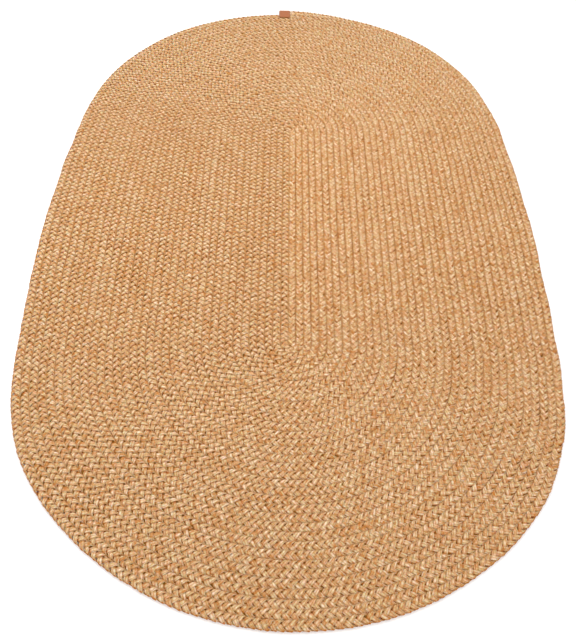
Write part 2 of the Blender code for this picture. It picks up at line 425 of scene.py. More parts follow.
class Coil:
    """The middle of the plait, sampled from the coil's start to its end."""

    SAMPLE = 0.003  # metres between two samples
    FEWEST = 24  # samples on a stretch, however short

    def __init__(self, settings):
        self.pitch = settings.row_pitch
        self.half_gap = settings.focus_gap / 2
        self.settings = settings
        self.rug_radius = (settings.rows + 0.5) * self.pitch
        runs, lap_starts = [], []
        for lap in range(settings.rows + 1):
            lap_starts.append(sum(len(run) for run in runs))
            names = ("right", "far") if lap == settings.rows else ("right", "far", "left", "near")
            runs += [self.stretch(name, lap) for name in names]
        samples = np.concatenate(runs)
        self.points, self.spread = samples[:, :2], samples[:, 2]
        steps = np.linalg.norm(np.diff(self.points, axis=0), axis=1)
        self.along = np.concatenate([[0.0], np.cumsum(steps)])
        self.length = self.along[-1]
        tangent = np.gradient(self.points, self.along, axis=0)
        tangent /= np.linalg.norm(tangent, axis=1)[:, None]
        # The plait runs anticlockwise, so outward is on the right of its way.
        self.outward = np.stack([tangent[:, 1], -tangent[:, 0]], 1)
        # How far along the coil each lap starts, and where the last one ends.
        self.lap_lengths = [self.along[start] for start in lap_starts] + [self.length]

    def stretch(self, name, lap):
        """One straight side or arc of a lap, as rows of x, y and how much wider the plait is there."""
        settings, pitch, half = self.settings, self.pitch, self.half_gap
        last = name == "far" and lap == settings.rows
        turn_length = settings.end_turn if last else math.pi
        radius = (lap + 1) * pitch
        length = 2 * half if name in ("right", "left") else turn_length * radius
        tuck = settings.start_tuck if lap == 0 else 0.0
        count = max(self.FEWEST, int(length / self.SAMPLE))
        share = np.arange(count) / count
        flat = np.zeros(count)
        # A lap steps out by one row: half of it on the far arc and half from there to the left side.
        if name == "right":
            foot = (flat, half * (2 * share - 1) - tuck * (1 - share))
            angle, reach, place = flat, lap * pitch, share
        elif name == "far":
            foot = (flat - pitch / 2, flat + half)
            angle, reach = turn_length * share, (lap + 0.5) * pitch
            place = 1 + angle / math.pi
        elif name == "left":
            foot, angle = (flat, half * (1 - 2 * share)), flat + math.pi
            reach, place = (lap + 1) * pitch, 2 + share
        else:
            foot, angle = (flat, flat - half), math.pi * (1 + share)
            reach, place = (lap + 1) * pitch, 3 + share
        # The rim's shift fades with the square of the reach, and the rows spread by its slope.
        shift = outline_shift(place)
        spread = 1 + 2 * shift * reach / self.rug_radius**2
        reach = reach + shift * (reach / self.rug_radius) ** 2
        if last:
            flare = (angle - settings.flare_start) / (settings.flare_end - settings.flare_start)
            flare = settings.flare * np.clip(flare, 0.0, 1.0)
            reach = reach + flare / 2
            spread = spread + flare / pitch
        x = foot[0] + np.cos(angle) * reach + settings.middle[0]
        y = foot[1] + np.sin(angle) * reach + settings.middle[1]
        return np.stack([x, y, spread], 1)

    def at(self, along):
        """Points, outward directions and spread at these lengths along the coil."""
        def read(values):
            return np.interp(along, self.along, values)
        point = np.stack([read(self.points[:, 0]), read(self.points[:, 1])], 1)
        outward = np.stack([read(self.outward[:, 0]), read(self.outward[:, 1])], 1)
        outward /= np.linalg.norm(outward, axis=1)[:, None]
        return point, outward, read(self.spread)


def roll_of(phase):
    """A strand's roll in radians: it turns over at the outer edge and back at the inner one."""
    phase = np.mod(phase, 360.0)
    flat = 15.0  # degrees of phase before and after the row's middle in which it doesn't turn
    over = smooth_step(flat, 180.0 - flat, phase)
    back = smooth_step(180.0 + flat, 360.0 - flat, phase)
    return math.pi * (over - back)


class Strand:
    """The stations of one strand over the whole coil."""

    NEAR = 0.022  # metres over which one leg comes to differ from the next
    PLUMP = 0.03  # over which a strand grows thicker and thinner
    WANDER = 0.06  # over which a row strays to the side
    FAR = 0.10  # over which the stitches drift along the row
    SWING_SHARE = 0.6  # of the unevenness

    def __init__(self, coil, settings, number, mid_height):
        period = STRANDS * settings.stitch
        lag = number * 360.0 / STRANDS
        periods = int(coil.length / period) + 2
        phase = (360.0 * np.arange(periods)[:, None] + np.array(PERIOD_STATIONS)).ravel()
        along = (phase - lag) / 360.0 * period
        inside = (along >= 0.0) & (along <= coil.length)
        phase, along = phase[inside], along[inside]
        rng = np.random.default_rng(settings.seed + number)
        shared = np.random.default_rng(settings.seed + STRANDS)
        uneven = settings.unevenness
        to_end = np.minimum(along, coil.length - along)
        wander = settings.row_wander * smooth_noise(shared, along, self.WANDER)
        drift = settings.drift * smooth_noise(shared, along, self.FAR)
        drift *= np.clip(to_end / self.FAR, 0.0, 1.0)
        slip = uneven * settings.stitch * smooth_noise(rng, along, self.NEAR)
        slip *= np.clip(to_end / self.NEAR, 0.0, 1.0)
        swing = settings.swing * (1 + self.SWING_SHARE * uneven * smooth_noise(rng, along, self.NEAR))
        rise = settings.rise * (1 + uneven * smooth_noise(rng, along, self.NEAR))
        point, outward, spread = coil.at(along + drift + slip)
        turn = np.radians(phase)
        side = (swing * np.sin(turn) + wander) * spread
        height = mid_height + rise * np.sin(2 * (turn + settings.lead))
        self.points = np.column_stack([point + outward * side[:, None], height])
        self.row_middle, self.outward = point, outward
        self.half_row = spread * coil.pitch / 2
        self.roll = roll_of(phase + math.degrees(settings.lead) / 2)
        edge = np.sin(turn) ** 2
        plump = 1 + uneven * smooth_noise(rng, along, self.PLUMP)
        self.radius = (1 - settings.edge_narrowing * edge) * plump * np.sqrt(spread)
        steps = np.linalg.norm(np.diff(self.points, axis=0), axis=1)
        self.length = np.concatenate([[0.0], np.cumsum(steps)])
        self.cuts = np.searchsorted(along, coil.lap_lengths)
        self.cuts[-1] = len(along) - 1


def section_curve(settings):
    """The strand's section as a closed flat curve."""
    data = bpy.data.curves.new("strand_section", "CURVE")
    data.dimensions = "2D"
    spline = data.splines.new("POLY")
    spline.points.add(len(STRAND_SECTION) - 1)
    spline.use_cyclic_u = True
    for corner, (across, up) in zip(spline.points, STRAND_SECTION):
        corner.co = (across * settings.strand_width / 2, up * settings.strand_thickness / 2, 0.0, 1.0)
    return bpy.data.objects.new("strand_section", data)


def swept_strand(strand, start, end, section):
    """One lap of a strand as a mesh with closed ends."""
    data = bpy.data.curves.new("strand_run", "CURVE")
    data.dimensions = "3D"
    data.twist_mode = "Z_UP"
    data.bevel_mode = "OBJECT"
    data.bevel_object = section
    data.use_fill_caps = True
    spline = data.splines.new("POLY")
    count = end - start + 1
    spline.points.add(count - 1)
    places = np.ones((count, 4))
    places[:, :3] = strand.points[start:end + 1]
    spline.points.foreach_set("co", places.ravel())
    spline.points.foreach_set("tilt", strand.roll[start:end + 1])
    spline.points.foreach_set("radius", strand.radius[start:end + 1])
    run = bpy.data.objects.new("strand_run", data)
    bpy.context.scene.collection.objects.link(run)
    evaluated = run.evaluated_get(bpy.context.evaluated_depsgraph_get())
    mesh = bpy.data.meshes.new_from_object(evaluated)
    bpy.data.objects.remove(run)
    bpy.data.curves.remove(data)
    return mesh


def point_places(mesh):
    """The mesh's points, one to a row."""
    places = np.zeros(3 * len(mesh.vertices), np.float32)
    mesh.vertices.foreach_get("co", places)
    return places.reshape(-1, 3)


def corner_values(mesh, layer):
    """A map's two values at each face corner."""
    values = np.zeros(2 * len(mesh.loops), np.float32)
    mesh.uv_layers[layer].uv.foreach_get("vector", values)
    return values.reshape(-1, 2)


def corner_stations(mesh, start, end):
    """The strand's station at each face corner, from the sweep's own map."""
    return start + np.round(corner_values(mesh, 0)[:, 0] * (end - start)).astype(int)


def write_strand_map(mesh, strand, number, start, end):
    """Turns the sweep's own map into metres along the strand, and its number plus the share round it."""
    values = corner_values(mesh, 0)
    values[:, 0] = strand.length[corner_stations(mesh, start, end)]
    values[:, 1] = number + values[:, 1]
    mesh.uv_layers[0].name = "strand"
    mesh.uv_layers[0].uv.foreach_set("vector", values.ravel())


def write_place_in_row(mesh, strand, start, end):
    """How far out each point lies across the plait: 0 in the row's middle and 1 at its edges."""
    corner_points = np.zeros(len(mesh.loops), np.int32)
    mesh.loops.foreach_get("vertex_index", corner_points)
    station = np.zeros(len(mesh.vertices), int)
    station[corner_points] = corner_stations(mesh, start, end)
    offset = point_places(mesh)[:, :2] - strand.row_middle[station]
    across = np.abs(np.sum(offset * strand.outward[station], axis=1)) / strand.half_row[station]
    layer = mesh.attributes.new("place_in_row", "FLOAT", "POINT")
    layer.data.foreach_set("value", across.astype(np.float32))


def write_bake_map(mesh, perimeter):
    """A second map that lays the strands in rows side by side over the whole square."""
    margin = 0.04  # of a row, left free at each side
    rounding = 1e-4  # keeps a share of 0 from falling to the strand before
    values = corner_values(mesh, "strand")
    faces = len(mesh.polygons)
    first = np.zeros(faces, np.int32)
    count = np.zeros(faces, np.int32)
    mesh.polygons.foreach_get("loop_start", first)
    mesh.polygons.foreach_get("loop_total", count)
    face = np.repeat(np.arange(faces), count)
    low = np.minimum.reduceat(values[:, 0], first)
    high = np.maximum.reduceat(values[:, 0], first)
    # Lengths along the strands that this mesh holds, one after another, without the laps between.
    strand_number = np.floor(np.minimum.reduceat(values[:, 1], first) + rounding)
    order = np.lexsort((low, strand_number))
    gaps = np.diff(low[order])
    longest = float((high - low).max())
    jump = (gaps < 0) | (gaps > 2 * longest)
    group = np.zeros(faces, int)
    group[order] = np.concatenate([[0], np.cumsum(jump)])
    group_low = np.full(group.max() + 1, np.inf)
    np.minimum.at(group_low, group, low)
    group_high = np.full(group.max() + 1, -np.inf)
    np.maximum.at(group_high, group, high)
    offsets = np.concatenate([[0.0], np.cumsum(group_high - group_low)])
    total = offsets[-1]
    rows = max(1, int(math.sqrt(total / perimeter)))
    row_length = total / rows
    place = offsets[group] + low - group_low[group]
    row = np.minimum((place / row_length).astype(int), rows - 1)
    along = offsets[group][face] + values[:, 0] - group_low[group][face] - row[face] * row_length
    around = values[:, 1] - strand_number[face]
    mapped = np.empty_like(values)
    mapped[:, 0] = along / (row_length + longest)
    mapped[:, 1] = (row[face] + margin + (1 - 2 * margin) * around) / rows
    mesh.uv_layers.new(name="OFBake")
    mesh.uv_layers["OFBake"].uv.foreach_set("vector", mapped.astype(np.float32).ravel())


# Between these shares of the rug's thickness the strands keep their shape, and beyond them they
# are pressed.
FREE_FROM, FREE_TO = 0.12, 0.93


def press_flat(points):
    """Presses the strands between the floor and the rug's top, as their weight and sewing do."""
    height = points[:, 2] - RUG_LOW.z
    top = RUG_HIGH.z - RUG_LOW.z
    low, high = FREE_FROM * top, FREE_TO * top
    soft_low, soft_high = 1.0 * MM, top - high
    height = np.where(height < low, low * np.exp((height - low) / soft_low), height)
    over = np.maximum(height - high, 0.0)
    height = np.where(over > 0.0, high + soft_high * (1 - np.exp(-over / soft_high)), height)
    points[:, 2] = RUG_LOW.z + height


class TabPlace:
    """The leather tab's own axes: X along the rim, Y outwards from the rim, Z up."""

    SIDE_EASE = 0.006  # beside the tab, where the plait swells again
    END_EASE = 0.004  # past the ends of its legs
    RIM_EASE = 0.0035  # in from its fold
    UNDER_GAP, OVER_GAP, RIM_GAP = 0.0002, 0.0001, 0.0002  # from the strands to the leather

    def __init__(self, coil, tab):
        middle = coil.settings.middle
        centre = np.array([middle[0] - coil.pitch / 2, middle[1] + coil.half_gap])
        self.outward = np.array([math.cos(tab.turn), math.sin(tab.turn)])
        self.sideways = np.array([math.sin(tab.turn), -math.cos(tab.turn)])
        reach = np.linalg.norm(coil.points[-1] - centre)
        half_row = (coil.pitch + coil.settings.flare) / 2
        self.origin = centre + self.outward * (reach + half_row)
        self.tab = tab

    def in_tab_axes(self, points):
        """These points of the scene in the tab's axes."""
        offset = points[:, :2] - self.origin
        return np.column_stack([offset @ self.sideways, offset @ self.outward, points[:, 2]])

    def in_scene_axes(self, local):
        """These points of the tab in the scene's axes."""
        flat = self.origin + local[:, :1] * self.sideways + local[:, 1:2] * self.outward
        return np.column_stack([flat, local[:, 2]])

    def make_room(self, points):
        """Presses the strands in between the tab's two legs and in from its fold."""
        local = self.in_tab_axes(points)
        tab = self.tab
        beside = np.abs(local[:, 0]) - tab.width / 2
        within = 1 - smooth_step(0.0, self.SIDE_EASE, beside)
        below = within * (1 - smooth_step(0.0, self.END_EASE, -local[:, 1] - tab.under_reach))
        above = within * (1 - smooth_step(0.0, self.END_EASE, -local[:, 1] - tab.top_reach))
        low = RUG_LOW.z + (tab.thickness + self.UNDER_GAP) * below
        high = RUG_HIGH.z - (self.OVER_GAP + tab.sink) * above
        share = (local[:, 2] - RUG_LOW.z) / (RUG_HIGH.z - RUG_LOW.z)
        local[:, 2] = low + (high - low) * share
        soft = self.RIM_EASE
        free = -self.RIM_GAP - tab.sink - soft
        past = np.maximum(local[:, 1] - free, 0.0)
        pressed = np.where(past > 0.0, free + soft * (1 - np.exp(-past / soft)), local[:, 1])
        local[:, 1] += (pressed - local[:, 1]) * within
        return self.in_scene_axes(local)


def mesh_from(bm, name):
    """The bmesh as a mesh of this name."""
    mesh = bpy.data.meshes.new(name)
    bm.to_mesh(mesh)
    bm.free()
    return mesh


def place_piece(mesh, materials):
    """Makes the finished mesh a piece of the rug, of the same name."""
    piece = bpy.data.objects.new(mesh.name, mesh)
    bpy.context.scene.collection.objects.link(piece)
    mesh.materials.clear()
    for material in materials:
        mesh.materials.append(material)
    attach(piece, "root")
    return piece


# Materials.


def add(tree, kind, inputs=None, **settings):
    """A node with its settings and inputs: an input is a value, a socket or a node's first output."""
    made = tree.nodes.new(kind)
    for name, value in settings.items():
        setattr(made, name, value)
    for socket, value in (inputs or {}).items():
        if isinstance(value, bpy.types.Node):
            value = value.outputs[0]
        if isinstance(value, bpy.types.NodeSocket):
            tree.links.new(value, made.inputs[socket])
        else:
            made.inputs[socket].default_value = value
    return made


def new_material(name):
    """A new material, its node tree and its shader."""
    material = bpy.data.materials.new(name)
    material.use_nodes = True
    return material, material.node_tree, material.node_tree.nodes["Principled BSDF"]


def opaque(colour, light=1.0):
    """A colour for a socket that wants its alpha too, made this much lighter or darker."""
    return (*(min(1.0, light * part) for part in colour), 1.0)


def join_surface(tree, shader, colour, relief, depth, strength, rough=None):
    """Joins colour, relief of this depth in metres and roughness, where it varies, to the shader."""
    bump = add(tree, "ShaderNodeBump", {"Height": relief, "Distance": depth, "Strength": strength})
    tree.links.new(colour, shader.inputs["Base Color"])
    tree.links.new(bump.outputs[0], shader.inputs["Normal"])
    if rough:
        tree.links.new(rough.outputs[0], shader.inputs["Roughness"])


# The colour sockets of a Mix node, which has sockets of these names for every type.
MIX_A, MIX_B, MIX_COLOUR = 6, 7, 2

# Each yarn reads its own row of the noise that tones it, this far from the row of the next yarn,
# and blush reads a layer of its own.
HEATHER_ROW, BLUSH_ROW = 7.31, 3.77
BLUSH_LAYER = 5.0
FIBRES_ACROSS = 3.0  # fine streaks side by side on a yarn
FIBRE_RELIEF = 0.35  # a fibre's height, as a share of its yarn's
CREASE_FADES_FROM, CREASE_FADES_TO = 0.15, 0.70  # metres from the rug's middle, along it
SEAM_SHARPNESS = 2.4  # a higher power makes the seam between two yarns narrower


def plaited_yarn():
    """Spun cotton and jute yarn, heathered in cream, straw and amber: matt, streaky along each yarn."""
    yarn = bpy.context.scene.rug_yarn
    material, tree, shader = new_material("heathered_yarn")
    coords = add(tree, "ShaderNodeUVMap", uv_map="strand")
    parts = add(tree, "ShaderNodeSeparateXYZ", {0: coords})
    along, around = parts.outputs["X"], parts.outputs["Y"]
    turned = add(tree, "ShaderNodeMath", {0: along, 1: yarn.twist, 2: around}, operation="MULTIPLY_ADD")
    position = add(tree, "ShaderNodeMath", {0: turned, 1: float(yarn.yarns)}, operation="MULTIPLY")
    number = add(tree, "ShaderNodeMath", {0: position}, operation="FLOOR")
    across = add(tree, "ShaderNodeMath", {0: position}, operation="FRACT")

    # Heather: each yarn changes tone along its length, and no two yarns alike.
    heather_x = add(tree, "ShaderNodeMath", {0: along, 1: yarn.heather}, operation="DIVIDE")
    heather_y = add(tree, "ShaderNodeMath", {0: number, 1: HEATHER_ROW}, operation="MULTIPLY")
    heather_place = add(tree, "ShaderNodeCombineXYZ", {"X": heather_x, "Y": heather_y})
    heather = add(
        tree, "ShaderNodeTexNoise",
        {"Vector": heather_place, "Scale": 1.0, "Detail": 2.0, "Roughness": 0.6},
        noise_dimensions="2D",
    )
    own_tone = add(tree, "ShaderNodeTexWhiteNoise", {"W": number}, noise_dimensions="1D")
    # Fibres: fine streaks along the yarn.
    fibre_x = add(tree, "ShaderNodeMath", {0: along, 1: yarn.fibre}, operation="DIVIDE")
    fibre_y = add(tree, "ShaderNodeMath", {0: position, 1: FIBRES_ACROSS}, operation="MULTIPLY")
    fibre_place = add(tree, "ShaderNodeCombineXYZ", {"X": fibre_x, "Y": fibre_y})
    fibre = add(
        tree, "ShaderNodeTexNoise",
        {"Vector": fibre_place, "Scale": 1.0, "Detail": 3.0, "Roughness": 0.65},
        noise_dimensions="2D",
    )
    # Each source strays about its own middle, and together they stray about the middle tone.
    tone = add(
        tree, "ShaderNodeMath", {0: own_tone, 1: yarn.own_tone, 2: 0.5 - yarn.own_tone / 2},
        operation="MULTIPLY_ADD",
    )
    for source, contrast in ((heather, yarn.contrast), (fibre, yarn.contrast / 2)):
        strayed = add(
            tree, "ShaderNodeMath", {0: source, 1: contrast, 2: -contrast / 2}, operation="MULTIPLY_ADD",
        )
        tone = add(tree, "ShaderNodeMath", {0: tone, 1: strayed}, operation="ADD")
    # Some stretches of yarn are pinker than the rest.
    blush_y = add(tree, "ShaderNodeMath", {0: number, 1: BLUSH_ROW}, operation="MULTIPLY")
    blush_place = add(tree, "ShaderNodeCombineXYZ", {"X": heather_x, "Y": blush_y, "Z": BLUSH_LAYER})
    blush = add(
        tree, "ShaderNodeTexNoise",
        {"Vector": blush_place, "Scale": 1.0, "Detail": 2.0, "Roughness": 0.6},
    )
    blush_share = add(tree, "ShaderNodeMapRange", {"Value": blush, "From Min": 0.4, "From Max": 0.6})
    middle_tone = add(
        tree, "ShaderNodeMix", {0: blush_share, MIX_A: opaque(yarn.straw), MIX_B: opaque(yarn.blush)},
        data_type="RGBA",
    ).outputs[MIX_COLOUR]
    to_straw = add(tree, "ShaderNodeMapRange", {"Value": tone, "From Min": 0.0, "From Max": 0.5})
    to_cream = add(tree, "ShaderNodeMapRange", {"Value": tone, "From Min": 0.5, "From Max": 1.0})
    amber_straw = add(
        tree, "ShaderNodeMix", {0: to_straw, MIX_A: opaque(yarn.amber), MIX_B: middle_tone},
        data_type="RGBA",
    ).outputs[MIX_COLOUR]
    body = add(
        tree, "ShaderNodeMix", {0: to_cream, MIX_A: amber_straw, MIX_B: opaque(yarn.cream)},
        data_type="RGBA",
    ).outputs[MIX_COLOUR]

    # Painted shade: deep between the strands the yarn is painted darker, towards the shade colour; the
    # height is counted from the rug's mid-height.
    places = add(tree, "ShaderNodeTexCoord").outputs["Object"]
    place_parts = add(tree, "ShaderNodeSeparateXYZ", {0: places}).outputs
    along_rug, height = place_parts["Y"], place_parts["Z"]
    middle = (RUG_LOW.z + RUG_HIGH.z) / 2
    raised = add(tree, "ShaderNodeMath", {0: height, 1: middle}, operation="SUBTRACT")
    off_middle = add(tree, "ShaderNodeMath", {0: raised}, operation="ABSOLUTE")
    lit = add(
        tree, "ShaderNodeMapRange",
        {"Value": off_middle, "From Max": yarn.pit_height},
        interpolation_type="SMOOTHSTEP",
    )
    # The seam between two yarns gets a little painted shade too.
    centred = add(tree, "ShaderNodeMath", {0: across, 1: 2.0, 2: -1.0}, operation="MULTIPLY_ADD")
    edge = add(tree, "ShaderNodeMath", {0: centred}, operation="ABSOLUTE")
    seam = add(tree, "ShaderNodeMath", {0: edge, 1: SEAM_SHARPNESS}, operation="POWER")
    seam_light = add(tree, "ShaderNodeMath", {0: seam, 1: -yarn.seam, 2: 1.0}, operation="MULTIPLY_ADD")
    lit = add(tree, "ShaderNodeMath", {0: lit, 1: seam_light}, operation="MULTIPLY")
    # And the crease where two rows are sewn together gets painted shade, in the crease's own dark tone.
    place_in_row = add(tree, "ShaderNodeAttribute", attribute_name="place_in_row").outputs["Fac"]
    ragged = add(
        tree, "ShaderNodeMath", {0: blush, 1: yarn.ragged, 2: -yarn.ragged / 2}, operation="MULTIPLY_ADD",
    )
    ragged_place = add(tree, "ShaderNodeMath", {0: place_in_row, 1: ragged}, operation="ADD")
    # The crease's painted shade fades from the rug's middle towards its two arcs.
    off_centre = add(tree, "ShaderNodeMath", {0: along_rug}, operation="ABSOLUTE")
    crease_shade_strength = add(
        tree, "ShaderNodeMapRange",
        {"Value": off_centre, "From Min": CREASE_FADES_FROM, "From Max": CREASE_FADES_TO,
         "To Min": yarn.crease, "To Max": yarn.crease * yarn.arc_crease},
        interpolation_type="SMOOTHSTEP",
    )
    crease_shade_share = add(
        tree, "ShaderNodeMapRange",
        {"Value": ragged_place, "From Min": yarn.crease_start, "From Max": 1.0, "To Max": crease_shade_strength},
        interpolation_type="SMOOTHSTEP",
    )
    crease_shaded = add(
        tree, "ShaderNodeMix", {0: crease_shade_share, MIX_A: body, MIX_B: opaque(yarn.crease_shade_tone)},
        data_type="RGBA",
    ).outputs[MIX_COLOUR]
    colour = add(
        tree, "ShaderNodeMix", {0: lit, MIX_A: opaque(yarn.shade), MIX_B: crease_shaded}, data_type="RGBA",
    ).outputs[MIX_COLOUR]

    shader.inputs["Specular IOR Level"].default_value = 0.1
    # Light passes a little way into the fibres and comes out warmer.
    shader.inputs["Subsurface Weight"].default_value = 0.5
    shader.inputs["Subsurface Scale"].default_value = 0.002
    shader.inputs["Subsurface Radius"].default_value = (1.0, 0.45, 0.2)

    # Relief: round yarns side by side, with fibres along them.
    hollow = add(tree, "ShaderNodeMath", {0: centred, 1: centred}, operation="MULTIPLY")
    relief = add(tree, "ShaderNodeMath", {0: fibre, 1: FIBRE_RELIEF, 2: 1.0}, operation="MULTIPLY_ADD")
    relief = add(tree, "ShaderNodeMath", {0: relief, 1: hollow}, operation="SUBTRACT")
    rough = add(tree, "ShaderNodeMapRange", {"Value": fibre, "To Min": 0.78, "To Max": 0.96})
    join_surface(tree, shader, colour, relief, depth=0.7 * MM, strength=0.9, rough=rough)
    return material


def shaded_yarn():
    """The same yarn inside the plait, painted a darker brown as shade: matt, in tufts about 3 mm across.
    """
    yarn = bpy.context.scene.rug_yarn
    material, tree, shader = new_material("shaded_yarn")
    places = add(tree, "ShaderNodeTexCoord").outputs["Object"]
    grain = add(
        tree, "ShaderNodeTexNoise",
        {"Vector": places, "Scale": 300.0, "Detail": 3.0, "Roughness": 0.6},
    )
    share = add(tree, "ShaderNodeMapRange", {"Value": grain, "From Min": 0.3, "From Max": 0.7})
    colour = add(
        tree, "ShaderNodeMix",
        {0: share, MIX_A: opaque(yarn.ground, light=0.6), MIX_B: opaque(yarn.ground)},
        data_type="RGBA",
    ).outputs[MIX_COLOUR]
    shader.inputs["Roughness"].default_value = 0.95
    shader.inputs["Specular IOR Level"].default_value = 0.1
    join_surface(tree, shader, colour, grain, depth=0.4 * MM, strength=0.8)
    return material


def tanned_leather():
    """Vegetable-tanned cowhide: a semi-matt face with a fine pebbled grain and a few tone clouds."""
    tab = bpy.context.scene.rug_tab
    material, tree, shader = new_material("vegetable_tanned_leather")
    places = add(tree, "ShaderNodeTexCoord").outputs["Object"]
    # Pores stand about 0.7 mm apart; the clouds are about 12 mm across.
    pores = add(tree, "ShaderNodeTexVoronoi", {"Vector": places, "Scale": 1400.0})
    clouds = add(
        tree, "ShaderNodeTexNoise",
        {"Vector": places, "Scale": 80.0, "Detail": 4.0, "Roughness": 0.6},
    )
    share = add(tree, "ShaderNodeMapRange", {"Value": clouds, "From Min": 0.3, "From Max": 0.7})
    cloudy = add(
        tree, "ShaderNodeMix",
        {0: share, MIX_A: opaque(tab.tan, light=0.82), MIX_B: opaque(tab.tan, light=1.12)},
        data_type="RGBA",
    ).outputs[MIX_COLOUR]
    pore_share = add(
        tree, "ShaderNodeMapRange",
        {"Value": pores.outputs["Distance"], "From Max": 0.7, "To Min": 1.0, "To Max": 0.0},
    )
    pore_dark = add(tree, "ShaderNodeMath", {0: pore_share, 1: 0.12}, operation="MULTIPLY")
    colour = add(
        tree, "ShaderNodeMix", {0: pore_dark, MIX_A: cloudy, MIX_B: opaque(tab.edge)}, data_type="RGBA",
    ).outputs[MIX_COLOUR]
    rough = add(tree, "ShaderNodeMapRange", {"Value": clouds, "To Min": 0.42, "To Max": 0.60})
    shader.inputs["IOR"].default_value = 1.5
    relief = add(
        tree, "ShaderNodeMath", {0: clouds, 1: 0.5, 2: pores.outputs["Distance"]},
        operation="MULTIPLY_ADD",
    )
    join_surface(tree, shader, colour, relief, depth=0.12 * MM, strength=0.7, rough=rough)
    return material


def burnished_edge():
    """The leather's cut edge, rubbed smooth and dark, with faint layers about 1 mm apart."""
    tab = bpy.context.scene.rug_tab
    material, tree, shader = new_material("burnished_edge")
    places = add(tree, "ShaderNodeTexCoord").outputs["Object"]
    layers = add(
        tree, "ShaderNodeTexNoise",
        {"Vector": places, "Scale": 900.0, "Detail": 3.0, "Roughness": 0.6},
    )
    colour = add(
        tree, "ShaderNodeMix",
        {0: layers, MIX_A: opaque(tab.edge), MIX_B: opaque(tab.edge, light=1.25)},
        data_type="RGBA",
    ).outputs[MIX_COLOUR]
    rough = add(tree, "ShaderNodeMapRange", {"Value": layers, "To Min": 0.35, "To Max": 0.55})
    shader.inputs["IOR"].default_value = 1.5
    join_surface(tree, shader, colour, layers, depth=0.08 * MM, strength=0.5, rough=rough)
    return material


def waxed_thread():
    """Waxed linen thread in the leather's tone: a soft gleam, broken by twist about 0.4 mm apart."""
    tab = bpy.context.scene.rug_tab
    material, tree, shader = new_material("waxed_thread")
    places = add(tree, "ShaderNodeTexCoord").outputs["Object"]
    plies = add(
        tree, "ShaderNodeTexNoise",
        {"Vector": places, "Scale": 2500.0, "Detail": 2.0, "Roughness": 0.5},
    )
    colour = add(
        tree, "ShaderNodeMix",
        {0: plies, MIX_A: opaque(tab.sewing, light=0.7), MIX_B: opaque(tab.sewing)},
        data_type="RGBA",
    ).outputs[MIX_COLOUR]
    rough = add(tree, "ShaderNodeMapRange", {"Value": plies, "To Min": 0.45, "To Max": 0.70})
    join_surface(tree, shader, colour, plies, depth=0.1 * MM, strength=0.8, rough=rough)
    return material


class RUG_OT_braid_plait(bpy.types.Operator):
    """Sweep the three strands along the coil, lap by lap"""

    bl_idname = "rug.braid_plait"
    bl_label = "Braid Plait"

    def execute(self, context):
        settings = context.scene.rug_plait
        coil = Coil(context.scene.rug_coil)
        tab_place = TabPlace(coil, context.scene.rug_tab)
        mid_height = (RUG_LOW.z + RUG_HIGH.z) / 2
        strands = [Strand(coil, settings, number, mid_height) for number in range(STRANDS)]
        section = section_curve(settings)
        perimeter = SECTION_ROUND * settings.strand_width
        material = plaited_yarn()
        laps = len(coil.lap_lengths) - 1
        for piece_number in range(PLAIT_PIECES):
            bm = bmesh.new()
            for lap in range(piece_number, laps, PLAIT_PIECES):
                for number, strand in enumerate(strands):
                    start, end = strand.cuts[lap], strand.cuts[lap + 1]
                    run = swept_strand(strand, start, end, section)
                    write_place_in_row(run, strand, start, end)
                    write_strand_map(run, strand, number, start, end)
                    bm.from_mesh(run)
                    bpy.data.meshes.remove(run)
            mesh = mesh_from(bm, f"plait_rows_{piece_number + 1:02d}")
            points = point_places(mesh).astype(float)
            press_flat(points)
            points = tab_place.make_room(points)
            mesh.vertices.foreach_set("co", points.astype(np.float32).ravel())
            write_bake_map(mesh, perimeter)
            mesh.shade_smooth()
            place_piece(mesh, [material])
        bpy.data.objects.remove(section)
        return {"FINISHED"}


class RUG_OT_lay_ground(bpy.types.Operator):
    """Lay the inside of the plait, painted dark as shade, which shows in the pits between strands"""

    bl_idname = "rug.lay_ground"
    bl_label = "Lay Ground"

    LOW, HIGH = 0.0030, 0.0048  # heights of its two sides
    EVERY = 6  # samples of the coil from one corner of its outline to the next
    AREA = 1.97  # square metres inside the rug's outline

    def execute(self, context):
        plait = [piece for piece in context.scene.objects if piece.name.startswith("plait_rows_")]
        if len(plait) != PLAIT_PIECES:
            raise RuntimeError("the plait has to be braided before its ground is laid")
        coil = Coil(context.scene.rug_coil)
        start = np.searchsorted(coil.along, self.last_lap_start(coil))
        ring = coil.points[start::self.EVERY]
        bm = bmesh.new()
        corners = [bm.verts.new((x, y, self.LOW)) for x, y in ring]
        floor = bm.faces.new(corners)
        raised = bmesh.ops.extrude_face_region(bm, geom=[floor], use_keep_orig=True)
        moved = [part for part in raised["geom"] if isinstance(part, bmesh.types.BMVert)]
        bmesh.ops.translate(bm, vec=(0.0, 0.0, self.HIGH - self.LOW), verts=moved)
        bmesh.ops.recalc_face_normals(bm, faces=bm.faces)
        mesh = mesh_from(bm, "plait_ground")
        ground = place_piece(mesh, [shaded_yarn()])
        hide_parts("braided_rug")
        return {"FINISHED"}

    def last_lap_start(self, coil):
        """The length along the coil at which its last full lap starts."""
        settings = coil.settings
        lap = settings.rows - 1
        far_start = coil.lap_lengths[lap] + settings.focus_gap
        return far_start + settings.end_turn * (lap + 0.5) * settings.row_pitch


